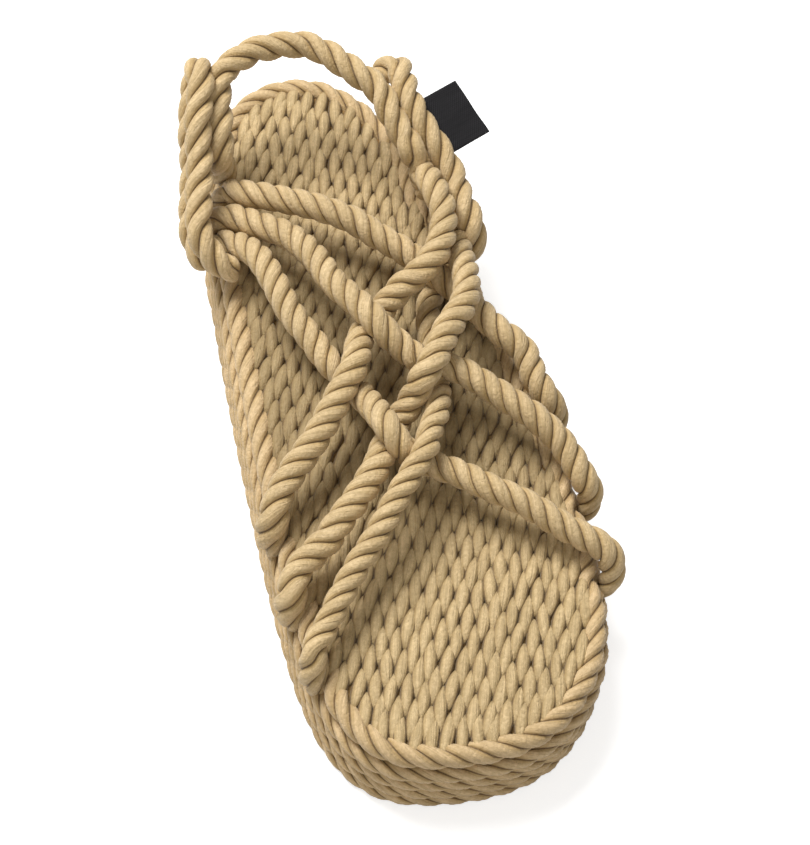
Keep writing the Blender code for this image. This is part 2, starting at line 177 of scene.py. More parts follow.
# Ropes of the web: where each one leaves the edge, its points over the foot,
# and where it turns down again, as shares of the length and the width, and
# the height over the footbed in strap diameters.
# start and end: side (-1 inner, 1 outer), along, drift
STRAPS = {
    "inner_back": {
        "start": (-1, 0.205, 0.000),
        "points": (
            (0.206, -0.408, 0.72),
            (0.213, -0.389, 0.97),
            (0.237, -0.271, 1.32),
            (0.261, -0.160, 1.53),
            (0.284, -0.065, 1.53),
            (0.309, 0.014, 1.38),
            (0.335, 0.094, 1.24),
            (0.376, 0.180, 1.24),
            (0.409, 0.250, 1.09),
            (0.457, 0.314, 1.22),
            (0.487, 0.387, 0.96),
            (0.521, 0.408, 0.66),
        ),
        "end": (1, 0.567, 0.024),
    },
    "inner_middle": {
        "start": (-1, 0.241, 0.000),
        "points": (
            (0.242, -0.456, 0.66),
            (0.248, -0.417, 0.89),
            (0.272, -0.346, 1.22),
            (0.298, -0.275, 1.53),
            (0.340, -0.214, 1.84),
            (0.390, -0.171, 2.10),
            (0.431, -0.108, 2.26),
            (0.450, -0.081, 2.31),
            (0.465, -0.054, 2.16),
            (0.484, 0.002, 1.74),
            (0.499, 0.047, 1.60),
            (0.510, 0.105, 1.58),
            (0.519, 0.163, 1.53),
            (0.558, 0.275, 1.43),
            (0.591, 0.365, 1.27),
            (0.619, 0.433, 0.85),
        ),
        "end": (1, 0.681, 0.024),
    },
    "inner_front": {
        "start": (-1, 0.276, 0.000),
        "points": (
            (0.278, -0.466, 0.64),
            (0.289, -0.427, 0.90),
            (0.315, -0.386, 1.34),
            (0.342, -0.359, 1.49),
            (0.372, -0.339, 1.51),
            (0.409, -0.310, 1.38),
            (0.443, -0.265, 1.27),
            (0.476, -0.224, 1.11),
            (0.496, -0.189, 1.01),
            (0.526, -0.153, 1.17),
            (0.565, -0.126, 1.74),
            (0.599, -0.105, 2.10),
            (0.618, -0.075, 1.80),
            (0.622, -0.029, 1.16),
            (0.633, 0.032, 0.99),
            (0.650, 0.096, 1.11),
            (0.675, 0.170, 1.22),
            (0.699, 0.269, 1.11),
            (0.730, 0.371, 0.85),
        ),
        "end": (1, 0.784, 0.024),
    },
    "outer_back": {
        "start": (1, 0.237, 0.000),
        "points": (
            (0.233, 0.238, 0.70),
            (0.226, 0.203, 1.28),
            (0.238, 0.195, 1.91),
            (0.271, 0.203, 2.32),
            (0.312, 0.212, 2.34),
            (0.359, 0.170, 2.31),
            (0.386, 0.110, 2.21),
            (0.398, 0.042, 1.84),
            (0.415, -0.017, 1.49),
            (0.458, -0.114, 1.57),
            (0.504, -0.159, 1.95),
            (0.530, -0.204, 1.84),
            (0.562, -0.262, 1.64),
            (0.594, -0.325, 1.43),
            (0.624, -0.401, 1.11),
            (0.647, -0.449, 0.78),
        ),
        "end": (-1, 0.681, 0.014),
    },
    "outer_middle": {
        "start": (1, 0.297, 0.000),
        "points": (
            (0.306, 0.267, 0.82),
            (0.333, 0.257, 1.28),
            (0.392, 0.242, 1.95),
            (0.430, 0.222, 2.24),
            (0.452, 0.191, 2.36),
            (0.471, 0.152, 2.42),
            (0.490, 0.118, 2.47),
            (0.509, 0.090, 2.47),
            (0.527, 0.061, 2.47),
            (0.539, 0.030, 2.21),
            (0.546, 0.011, 1.74),
            (0.556, -0.014, 1.38),
            (0.569, -0.047, 1.11),
            (0.607, -0.115, 1.16),
            (0.630, -0.143, 1.39),
            (0.668, -0.216, 1.43),
            (0.702, -0.299, 1.27),
            (0.717, -0.334, 1.11),
            (0.731, -0.388, 0.91),
            (0.749, -0.442, 0.68),
        ),
        "end": (-1, 0.781, 0.014),
    },
    "outer_front": {
        "start": (1, 0.267, 0.000),
        "points": (
            (0.273, 0.252, 0.59),
            (0.299, 0.226, 0.54),
            (0.335, 0.220, 0.53),
            (0.365, 0.187, 0.51),
            (0.396, 0.138, 0.55),
            (0.437, 0.118, 0.57),
            (0.471, 0.113, 0.59),
            (0.519, 0.102, 0.86),
            (0.558, 0.075, 1.43),
            (0.581, 0.056, 1.64),
            (0.603, 0.024, 1.79),
            (0.632, -0.007, 1.95),
            (0.659, -0.062, 1.84),
            (0.691, -0.129, 1.64),
            (0.724, -0.192, 1.43),
            (0.756, -0.264, 1.22),
            (0.789, -0.328, 1.01),
            (0.822, -0.387, 0.80),
            (0.845, -0.432, 0.64),
        ),
        "end": (-1, 0.868, 0.014),
    },
}

# Ropes beside and behind the heel: shares of the length and the width, and the
# share of the rise from the gathered straps
HEEL_STRAP = (
    # along, across, rise
    (0.167, -0.418, -1.32),
    (0.167, -0.419, -0.72),
    (0.176, -0.434, -0.23),
    (0.178, -0.437, 0.16),
    (0.164, -0.434, 0.38),
    (0.135, -0.427, 0.58),
    (0.112, -0.420, 0.73),
    (0.092, -0.400, 0.91),
    (0.077, -0.339, 0.99),
    (0.067, -0.291, 1.00),
    (0.062, -0.216, 1.00),
    (0.065, -0.124, 1.00),
    (0.085, -0.050, 1.00),
    (0.112, 0.017, 0.96),
    (0.138, 0.082, 0.85),
    (0.167, 0.107, 0.71),
    (0.182, 0.123, 0.59),
    (0.197, 0.143, 0.50),
    (0.212, 0.157, 0.44),
    (0.217, 0.172, 0.26),
    (0.222, 0.187, 0.02),
    (0.227, 0.202, -0.24),
    (0.234, 0.212, -0.56),
    (0.240, 0.216, -0.90),
)
INNER_HITCH = (
    (0.316, -0.346, -0.83),
    (0.320, -0.380, -0.71),
    (0.314, -0.414, -0.47),
    (0.301, -0.440, -0.23),
    (0.286, -0.455, -0.03),
    (0.262, -0.448, 0.10),
    (0.240, -0.440, 0.19),
    (0.215, -0.427, 0.30),
    (0.191, -0.422, 0.44),
    (0.163, -0.416, 0.71),
    (0.136, -0.402, 0.88),
    (0.112, -0.388, 1.03),
    (0.092, -0.388, 1.03),
    (0.078, -0.384, 0.85),
)
INNER_LEG = (
    (0.082, -0.378, 0.62),
    (0.091, -0.396, 0.60),
    (0.113, -0.411, 0.46),
    (0.140, -0.425, 0.29),
    (0.169, -0.431, 0.02),
    (0.193, -0.436, -0.17),
    (0.218, -0.449, -0.33),
    (0.240, -0.458, -0.45),
    (0.265, -0.465, -0.62),
    (0.290, -0.452, -0.82),
    (0.308, -0.420, -0.95),
)
OUTER_HITCH = (
    (0.318, 0.222, -1.09),
    (0.322, 0.226, -0.72),
    (0.314, 0.224, -0.28),
    (0.296, 0.212, 0.02),
    (0.272, 0.200, 0.05),
    (0.246, 0.196, 0.08),
    (0.223, 0.176, 0.20),
    (0.200, 0.144, 0.41),
    (0.170, 0.104, 0.61),
    (0.142, 0.082, 0.74),
    (0.118, 0.080, 0.77),
    (0.100, 0.078, 0.71),
    (0.090, 0.045, 0.53),
    (0.092, 0.005, 0.30),
)


# Curves and outlines
def smooth_through(points, steps, closed=False):
    """Points on a centripetal Catmull-Rom curve, `steps` to each span."""
    pts = np.asarray(points, dtype=float)
    if closed:
        pts = np.vstack([pts[-1:], pts, pts[:2]])
    else:
        pts = np.vstack([2 * pts[0] - pts[1], pts, 2 * pts[-1] - pts[-2]])
    out = []
    for p0, p1, p2, p3 in zip(pts, pts[1:], pts[2:], pts[3:]):
        t1 = math.sqrt(np.linalg.norm((p1 - p0)[:3]))
        t2 = t1 + math.sqrt(np.linalg.norm((p2 - p1)[:3]))
        t3 = t2 + math.sqrt(np.linalg.norm((p3 - p2)[:3]))
        t = np.linspace(t1, t2, steps, endpoint=False)[:, None]
        a1 = p0 + (p1 - p0) * t / t1
        a2 = p1 + (p2 - p1) * (t - t1) / (t2 - t1)
        a3 = p2 + (p3 - p2) * (t - t2) / (t3 - t2)
        b1 = a1 + (a2 - a1) * t / t2
        b2 = a2 + (a3 - a2) * (t - t1) / (t3 - t1)
        out.append(b1 + (b2 - b1) * (t - t1) / (t2 - t1))
    if not closed:
        out.append(pts[-2:-1])
    return np.vstack(out)


def evenly(points, count, closed=False):
    """`count` points at equal lengths along a fine polyline."""
    pts = np.asarray(points)
    if closed:
        pts = np.vstack([pts, pts[:1]])
    lengths = np.linalg.norm(np.diff(pts[:, :3], axis=0), axis=1)
    run = np.concatenate([[0.0], np.cumsum(lengths)])
    wanted = np.linspace(0.0, run[-1], count, endpoint=not closed)
    return np.stack([np.interp(wanted, run, column) for column in pts.T], axis=1)


def path_length(points, closed=False):
    pts = np.vstack([points, points[:1]]) if closed else points
    return np.linalg.norm(np.diff(pts[:, :3], axis=0), axis=1).sum()


def wall_outline():
    """The wall in plan, from the heel up the outer side and back, in the model's frame."""
    outer = [((a - 0.5) * SOLE_LENGTH, o * SOLE_WIDTH) for a, _, o in OUTLINE]
    inner = [((a - 0.5) * SOLE_LENGTH, i * SOLE_WIDTH) for a, i, _ in OUTLINE[1:-1]]
    return smooth_through(outer + inner[::-1], 40, closed=True)


# the model's box is centred on the floor, so the sole's own middle is found
# from the lowest edge rope
RAW_WALL = wall_outline()
EDGE_LOW, EDGE_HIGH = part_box("edge_rope_4")
SHIFT = np.array([(EDGE_LOW.x + EDGE_HIGH.x) / 2, (EDGE_LOW.y + EDGE_HIGH.y) / 2])
SHIFT -= (RAW_WALL.min(axis=0) + RAW_WALL.max(axis=0)) / 2
WALL = evenly(RAW_WALL + SHIFT, 900, closed=True)


def outward_normals(outline):
    ahead = np.roll(outline, -4, axis=0) - np.roll(outline, 4, axis=0)
    ahead /= np.linalg.norm(ahead, axis=1)[:, None]
    return np.stack([-ahead[:, 1], ahead[:, 0]], axis=1)


WALL_NORMALS = outward_normals(WALL)


def inset_outline(inset):
    """The wall's outline moved inwards by a distance."""
    return WALL - WALL_NORMALS * inset


def length_to_x(along):
    return (along - 0.5) * SOLE_LENGTH + SHIFT[0]


def width_to_y(across):
    return across * SOLE_WIDTH + SHIFT[1]


def wall_at(side, along):
    """Point and outward normal of the wall on one side, at a share of the length."""
    on_side = WALL_NORMALS[:, 1] * side > 0
    order = np.argsort(WALL[on_side, 0])
    x = WALL[on_side, 0][order]
    at = length_to_x(along)
    point = np.array([at, np.interp(at, x, WALL[on_side, 1][order])])
    normal = np.array([np.interp(at, x, WALL_NORMALS[on_side, k][order]) for k in (0, 1)])
    return point, normal / np.linalg.norm(normal)


def edge_turn(side, along, drift):
    """Points of a strap that comes up between the border rope and the wall."""
    clearance = STRAP_RADIUS + 2 * GAP
    turn = INNER_TURN if side < 0 else OUTER_TURN
    points = []
    for out, up, radius, back in turn:
        wall, normal = wall_at(side, along - back * drift)
        x, y = wall + normal * out * clearance
        points.append((x, y, SOLE_THICKNESS + up * STRAP_RADIUS, radius))
    return points


def strap_points(strap):
    start = edge_turn(*strap["start"])
    end = edge_turn(*strap["end"])
    middle = []
    for along, across, rise in strap["points"]:
        height = SOLE_THICKNESS + GAP + rise * STRAP_ROPE
        middle.append((length_to_x(along), width_to_y(across), height, 1.0))
    return start + middle + end[::-1]


def heel_points(table, beside):
    """Points of a heel rope, a number of rope steps to the side, with a radius share of one."""
    side_step = HEEL_ROPE + GAP
    down = BUNDLE_RISE - HEEL_RADIUS
    points = []
    for along, across, rise in table:
        reach = (HEEL_RISE - BUNDLE_RISE) if rise > 0 else down
        height = SOLE_THICKNESS + BUNDLE_RISE + rise * reach
        points.append((length_to_x(along), width_to_y(across) + beside * side_step, height, 1.0))
    return points


# Surfaces
# How far a rope's turn (radians), its thickness and its crests (shares) wander
TURN_WANDER = 0.16
THICKNESS_WANDER = 0.012
CREST_WANDER = 0.035


def slow_noise(count, waves, seed):
    """A smooth uneven line between about -1 and 1: a sum of a few slow sines."""
    rng = np.random.default_rng(seed)
    t = np.linspace(0.0, 2 * math.pi, count)
    total = np.zeros(count)
    for wave in range(1, waves + 1):
        total += rng.normal() * np.sin(wave * t + rng.uniform(0, 2 * math.pi)) / math.sqrt(wave)
    return total / math.sqrt(waves)


def frames_along(centres, closed):
    """Tangent, normal and binormal at each point of a path.

    The normal of an open path is carried from point to point with no turn of
    its own. On a closed ring it stays level and points outwards instead.
    """
    if closed:
        ahead = np.roll(centres, -1, axis=0) - np.roll(centres, 1, axis=0)
    else:
        ahead = np.gradient(centres, axis=0)
    tangent = ahead / np.linalg.norm(ahead, axis=1)[:, None]
    if closed:
        normal = np.stack([tangent[:, 1], -tangent[:, 0], np.zeros(len(centres))], axis=1)
        normal /= np.linalg.norm(normal, axis=1)[:, None]
    else:
        normal = np.empty_like(tangent)
        last = np.cross(tangent[0], (0.31, 0.42, 0.85))
        for row, along in enumerate(tangent):
            last = last - along * np.dot(last, along)
            last = last / np.linalg.norm(last)
            normal[row] = last
    return tangent, normal, np.cross(tangent, normal)


# Angle from one strand of a rope to the next
STRAND_TURN = 2 * math.pi / 3


def strand_profile(samples, fullness, slant):
    """Half of the outline of laid rope, as angle from a strand's crest and radius.

    Each strand is an ellipse, wider across than deep because it is cut at a
    slant. The outline is the distance from the rope's middle to the far side
    of the nearest ellipse: the root of a quadratic in that distance. The
    crest has radius 1, and the angles are closer together beside the grooves.
    """
    share = np.linspace(-1.0, 1.0, samples + 1)
    angle = STRAND_TURN / 2 * np.sin(share * math.pi / 2)
    deep = fullness
    wide = fullness / slant
    middle = 1.0 - deep
    a = np.cos(angle) ** 2 / deep ** 2 + np.sin(angle) ** 2 / wide ** 2
    b = -2 * middle * np.cos(angle) / deep ** 2
    c = middle ** 2 / deep ** 2 - 1.0
    inside = np.maximum(b * b - 4 * a * c, 0.0)
    radius = (-b + np.sqrt(inside)) / (2 * a)
    return angle, radius


def tube_faces(rings, around, closed=False):
    """Four-sided faces of a grid of rings, each with `around` places."""
    row = np.arange(rings if closed else rings - 1)[:, None]
    col = np.arange(around)[None, :]
    row_next = (row + 1) % rings
    col_next = (col + 1) % around
    return np.stack([row * around + col, row * around + col_next,
                     row_next * around + col_next, row_next * around + col], axis=-1).reshape(-1, 4)


def face_corners(u, v, u_next, v_next):
    """Map coordinates of each face's corners, where a face reaches from (u, v) to the next ones."""
    return np.stack([u, v, u, v_next, u_next, v_next, u_next, v], axis=-1).reshape(-1, 2)


def end_fans(rings, around):
    """Three-sided faces that close both ends of a grid, at two places that follow its own."""
    col = np.arange(around)
    nxt = (col + 1) % around
    last = (rings - 1) * around
    size = rings * around
    start = np.stack([nxt, col, np.full(around, size)], axis=1)
    end = np.stack([last + col, last + nxt, np.full(around, size + 1)], axis=1)
    return np.vstack([start, end])


def laid_rope(points, diameter, lay, step, seed, closed=False, samples=8,
              fullness=EDGE_FULLNESS, ends=(0.0, 0.0)):
    """The surface of a three-strand laid rope along a path.

    A point's two parameters are the length along the path and the angle round
    the rope. Its distance from the path is the strand outline, turned by one
    full turn each lay, so that the grooves run along lines of the grid.
    Turn, thickness and the height of each strand's crest wander a little.
    `ends` rounds each end off over that length. Returns the places, faces,
    face corner coordinates (metres along and across the strand), groove depth
    and strand number.
    """
    fine = np.asarray(points) if closed else smooth_through(points, 10)
    length = path_length(fine, closed)
    count = max(8, round(length / step) + (0 if closed else 1))
    rows = evenly(fine, count, closed)
    centres = rows[:, :3]
    share = np.ones(count) if closed else rows[:, 3]
    run = np.linspace(0.0, length, count, endpoint=not closed)
    tangent, normal, binormal = frames_along(centres, closed)
    radius = diameter / 2
    slant = 1.0 / math.hypot(1.0, 2 * math.pi * radius * 0.52 / lay)
    local, profile = strand_profile(samples, fullness, slant)
    turns = max(1, round(length / lay)) if closed else length / lay
    turn = 2 * math.pi * turns * run / length
    uneven = slow_noise(count, max(3, int(length / (3 * lay))), seed)
    fade = np.sin(math.pi * run / length) if closed else 1.0
    turn = turn + TURN_WANDER * uneven * fade + seed
    reach = radius * share * (1.0 + THICKNESS_WANDER * slow_noise(count, 9, seed + 1) * fade)
    for end, inward in zip(ends, (run, length - run)):
        if end > 0:
            near = np.clip(1.0 - inward / end, 0.0, 1.0)
            reach = reach * np.sqrt(np.maximum(1.0 - near ** 2, 0.0004))
    strand_angle = np.arange(3)[:, None] * STRAND_TURN + local[None, :-1]
    angle = turn[:, None] + strand_angle.ravel()[None, :]
    waves = max(4, int(length / (0.8 * lay)))
    crest = 1.0 - (local[:-1] / local[-1]) ** 2
    swell = [slow_noise(count, waves, seed + 5 + k)[:, None] * crest[None, :] for k in range(3)]
    swell = CREST_WANDER * np.hstack(swell)
    if closed:
        swell *= fade[:, None]
    out = reach[:, None] * (np.tile(profile[:-1], 3)[None, :] + swell)
    across_n = (out * np.cos(angle))[:, :, None] * normal[:, None, :]
    across_b = (out * np.sin(angle))[:, :, None] * binormal[:, None, :]
    places = (centres[:, None, :] + across_n + across_b).reshape(-1, 3)
    around = 3 * samples
    spans = count if closed else count - 1
    stretch = math.hypot(1.0, 2 * math.pi * radius * 0.7 / lay)
    u = np.broadcast_to(run[:spans, None] * stretch, (spans, around))
    u_next = u + length / spans * stretch
    width = np.tile(np.cumsum(np.hypot(np.diff(local) * profile[1:], np.diff(profile))), 3)
    before = np.tile(np.concatenate([[0.0], width[:samples - 1]]), 3)
    strand = np.repeat(np.arange(3), samples) * 0.031 + (seed % 97) * 0.093
    v = np.broadcast_to(before * radius + strand, (spans, around))
    v_next = np.broadcast_to(width * radius + strand, (spans, around))
    # groove depth, from 0 at a crest to 1 at the bottom of a groove; the materials paint shade with it
    depth = (1.0 - profile[:-1]) / (1.0 - profile.min())
    number = np.repeat(np.arange(3), samples) + 3 * (seed % 50)
    rope = {"places": places, "quads": tube_faces(count, around, closed),
            "corners": face_corners(u, v, u_next, v_next),
            "depth": np.tile(np.tile(depth, 3), count), "number": np.tile(number, count).astype(float),
            "crease": np.tile(np.arange(around) % samples == 0, spans),
            "tris": np.zeros((0, 3), dtype=int), "tri_corners": np.zeros((0, 2))}
    if not closed:
        close_ends(rope, centres[[0, -1]], count, around)
    return rope


def close_ends(rope, middles, rings, around):
    """Closes both ends of a rope with a fan round its middle."""
    rope["places"] = np.vstack([rope["places"], middles])
    rope["depth"] = np.append(rope["depth"], [0.5, 0.5])
    rope["number"] = np.append(rope["number"], [0.0, 0.0])
    rope["tris"] = end_fans(rings, around)
    rope["tri_corners"] = np.zeros((6 * around, 2))


def place_piece(name, mesh, material, node):
    """Puts a finished mesh into the scene in place of a solid."""
    mesh.validate()
    obj = bpy.data.objects.new(name, mesh)
    bpy.context.scene.collection.objects.link(obj)
    mesh.materials.append(material)
    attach(obj, "root")
    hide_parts(node)


def build_piece(name, shape, material, node):
    """One piece from its grid, smooth but for the grooves between strands."""
    places, quads, tris = shape["places"], shape["quads"], shape["tris"]
    mesh = bpy.data.meshes.new(name)
    mesh.vertices.add(len(places))
    mesh.vertices.foreach_set("co", places.ravel())
    mesh.loops.add(quads.size + tris.size)
    mesh.loops.foreach_set("vertex_index", np.concatenate([quads.ravel(), tris.ravel()]))
    mesh.polygons.add(len(quads) + len(tris))
    starts = np.concatenate([np.arange(len(quads)) * 4, quads.size + np.arange(len(tris)) * 3])
    mesh.polygons.foreach_set("loop_start", starts)
    mesh.update(calc_edges=True)
    uv = mesh.uv_layers.new(name="strand")
    corners = np.vstack([shape["corners"], shape["tri_corners"]])
    uv.data.foreach_set("uv", corners.astype(np.float32).ravel())
    for field in ("depth", "number"):
        layer = mesh.attributes.new(field, "FLOAT", "POINT")
        layer.data.foreach_set("value", shape[field].astype(np.float32))
    mesh.polygons.foreach_set("use_smooth", np.ones(len(mesh.polygons), dtype=bool))
    mark_creases(mesh, quads, shape["crease"])
    place_piece(name, mesh, material, node)


def mark_creases(mesh, quads, crease):
    """Marks as sharp each edge that runs along the bottom of a groove."""
    ends = np.sort(quads[crease][:, [0, 3]], axis=1)
    size = len(mesh.vertices)
    wanted = ends[:, 0].astype(np.int64) * size + ends[:, 1]
    edges = np.empty(len(mesh.edges) * 2, dtype=np.int64)
    mesh.edges.foreach_get("vertices", edges)
    edges = np.sort(edges.reshape(-1, 2), axis=1)
    sharp = np.isin(edges[:, 0] * size + edges[:, 1], wanted)
    layer = mesh.attributes.new("sharp_edge", "BOOLEAN", "EDGE")
    layer.data.foreach_set("value", sharp)


# Shader groups
def new_group(name, inputs, outputs):
    """An empty node group with named inputs (name, kind, value) and outputs (name, kind)."""
    tree = bpy.data.node_groups.new(name, "ShaderNodeTree")
    for label, kind, value in inputs:
        socket = tree.interface.new_socket(label, in_out="INPUT", socket_type=kind)
        if value is not None:
            socket.default_value = value
    for label, kind in outputs:
        tree.interface.new_socket(label, in_out="OUTPUT", socket_type=kind)
    start = tree.nodes.new("NodeGroupInput")
    end = tree.nodes.new("NodeGroupOutput")
    return tree, start, end


def maths(tree, operation, first, second=None):
    """A Math node whose inputs are sockets or numbers; returns its output."""
    node = tree.nodes.new("ShaderNodeMath")
    node.operation = operation
    for socket, value in zip(node.inputs, (first, second)):
        if isinstance(value, (int, float)):
            socket.default_value = value
        elif value is not None:
            tree.links.new(value, socket)
    return node.outputs[0]


def noise(tree, vector, scale, detail=2.0, roughness=0.5):
    node = tree.nodes.new("ShaderNodeTexNoise")
    tree.links.new(vector, node.inputs["Vector"])
    node.inputs["Scale"].default_value = scale
    node.inputs["Detail"].default_value = detail
    node.inputs["Roughness"].default_value = roughness
    return node.outputs["Fac"]


def mix_colour(tree, factor, first, second, mode="MIX"):
    node = tree.nodes.new("ShaderNodeMix")
    node.data_type = "RGBA"
    node.blend_type = mode
    sockets = (node.inputs[0], node.inputs[6], node.inputs[7])
    for socket, value in zip(sockets, (factor, first, second)):
        if isinstance(value, (int, float, tuple)):
            socket.default_value = value
        else:
            tree.links.new(value, socket)
    return node.outputs[2]


def tint(tree, colour, mask, share, towards):
    """Takes a colour towards another one where a mask is high, by up to a share."""
    return mix_colour(tree, maths(tree, "MULTIPLY", mask, share), colour, towards)


def ramp(tree, value, low, high):
    """Maps low to 0 and high to 1, with smooth ends."""
    node = tree.nodes.new("ShaderNodeMapRange")
    node.interpolation_type = "SMOOTHSTEP"
    tree.links.new(value, node.inputs["Value"])
    node.inputs["From Min"].default_value = low
    node.inputs["From Max"].default_value = high
    return node.outputs["Result"]


def components(tree, vector):
    node = tree.nodes.new("ShaderNodeSeparateXYZ")
    tree.links.new(vector, node.inputs[0])
    return node.outputs["X"], node.outputs["Y"]


def own_map(tree):
    """A piece's own map: places along its strands or threads, and across them."""
    uv = tree.nodes.new("ShaderNodeUVMap")
    uv.uv_map = "strand"
    return components(tree, uv.outputs["UV"])


def vector_of(tree, x, y, z=0.0):
    node = tree.nodes.new("ShaderNodeCombineXYZ")
    tree.links.new(x, node.inputs["X"])
    tree.links.new(y, node.inputs["Y"])
    node.inputs["Z"].default_value = z
    return node.outputs[0]


def attribute(tree, name):
    node = tree.nodes.new("ShaderNodeAttribute")
    node.attribute_name = name
    return node.outputs["Fac"]


def add_bump(tree, shader, height, strength, distance):
    """Raises a surface by a height, through its shader's normal."""
    bump = tree.nodes.new("ShaderNodeBump")
    bump.inputs["Strength"].default_value = strength
    bump.inputs["Distance"].default_value = distance
    tree.links.new(height, bump.inputs["Height"])
    tree.links.new(bump.outputs["Normal"], shader.inputs["Normal"])


def make_filament_group():
    """Fine filaments that run along each strand: stretched noise on the strand's own lines."""
    tree, start, end = new_group(
        "strand_filaments",
        [("Filament Width", "NodeSocketFloat", 0.0005), ("Run", "NodeSocketFloat", 0.010),
         ("Lean", "NodeSocketFloat", 0.12)],
        [("Height", "NodeSocketFloat"), ("Tone", "NodeSocketFloat"), ("Yarn", "NodeSocketFloat")])
    run, width = own_map(tree)
    along = maths(tree, "DIVIDE", run, start.outputs["Run"])
    crossed = maths(tree, "ADD", width, maths(tree, "MULTIPLY", run, start.outputs["Lean"]))
    across = maths(tree, "DIVIDE", crossed, start.outputs["Filament Width"])
    broad_place = vector_of(tree, maths(tree, "MULTIPLY", along, 0.55),
                            maths(tree, "MULTIPLY", across, 0.34), 7.3)
    fine = noise(tree, vector_of(tree, along, across), 1.0, 3.0, 0.6)
    broad = noise(tree, broad_place, 1.0, 1.0, 0.5)
    both = maths(tree, "ADD", maths(tree, "MULTIPLY", fine, 0.55), maths(tree, "MULTIPLY", broad, 0.45))
    tree.links.new(both, end.inputs["Height"])
    tree.links.new(ramp(tree, fine, 0.3, 0.7), end.inputs["Tone"])
    tree.links.new(ramp(tree, broad, 0.32, 0.68), end.inputs["Yarn"])
    return tree


def make_wear_and_shade_group():
    """Slow changes of colour over the whole sandal, painted shade in the grooves that is stronger in slow
    patches, and short fuzz.
    """
    tree, start, end = new_group(
        "wear_and_groove_shade",
        [("Patch", "NodeSocketFloat", 0.030), ("Hollow", "NodeSocketFloat", 0.0)],
        [("Fade", "NodeSocketFloat"), ("Blotch", "NodeSocketFloat"), ("Patchy Groove Shade", "NodeSocketFloat"),
         ("Fuzz", "NodeSocketFloat")])
    place = tree.nodes.new("ShaderNodeTexCoord")
    scaled = tree.nodes.new("ShaderNodeVectorMath")
    scaled.operation = "SCALE"
    tree.links.new(place.outputs["Object"], scaled.inputs[0])
    tree.links.new(maths(tree, "DIVIDE", 1.0, start.outputs["Patch"]), scaled.inputs["Scale"])
    slow = noise(tree, scaled.outputs[0], 1.0, 2.0, 0.5)
    quick = noise(tree, scaled.outputs[0], 6.0, 2.0, 0.6)
    tree.links.new(ramp(tree, slow, 0.3, 0.7), end.inputs["Fade"])
    tree.links.new(ramp(tree, quick, 0.3, 0.7), end.inputs["Blotch"])
    # painted shade in the grooves: groove depth, made stronger and weaker by slow patches
    patchy_groove_shade = maths(tree, "MULTIPLY", start.outputs["Hollow"], ramp(tree, slow, 0.25, 0.75))
    tree.links.new(patchy_groove_shade, end.inputs["Patchy Groove Shade"])
    fuzz = noise(tree, scaled.outputs[0], 30.0, 3.0, 0.65)
    tree.links.new(ramp(tree, fuzz, 0.32, 0.68), end.inputs["Fuzz"])
    return tree


FILAMENTS = make_filament_group()
WEAR_AND_GROOVE_SHADE = make_wear_and_shade_group()


def place_group(tree, group, **values):
    node = tree.nodes.new("ShaderNodeGroup")
    node.node_tree = group
    for label, value in values.items():
        node.inputs[label.replace("_", " ")].default_value = value
    return node


def new_material(name):
    material = bpy.data.materials.new(name)
    material.use_nodes = True
    tree = material.node_tree
    return material, tree, tree.nodes["Principled BSDF"]


def middle_of_foot_mask(tree):
    """1 under the middle of the foot and 0 towards the heel and the toe."""
    place = tree.nodes.new("ShaderNodeTexCoord")
    along, _ = components(tree, place.outputs["Object"])
    away = maths(tree, "ABSOLUTE", maths(tree, "ADD", along, 6 * MM))
    return maths(tree, "SUBTRACT", 1.0, ramp(tree, away, 25 * MM, 75 * MM))


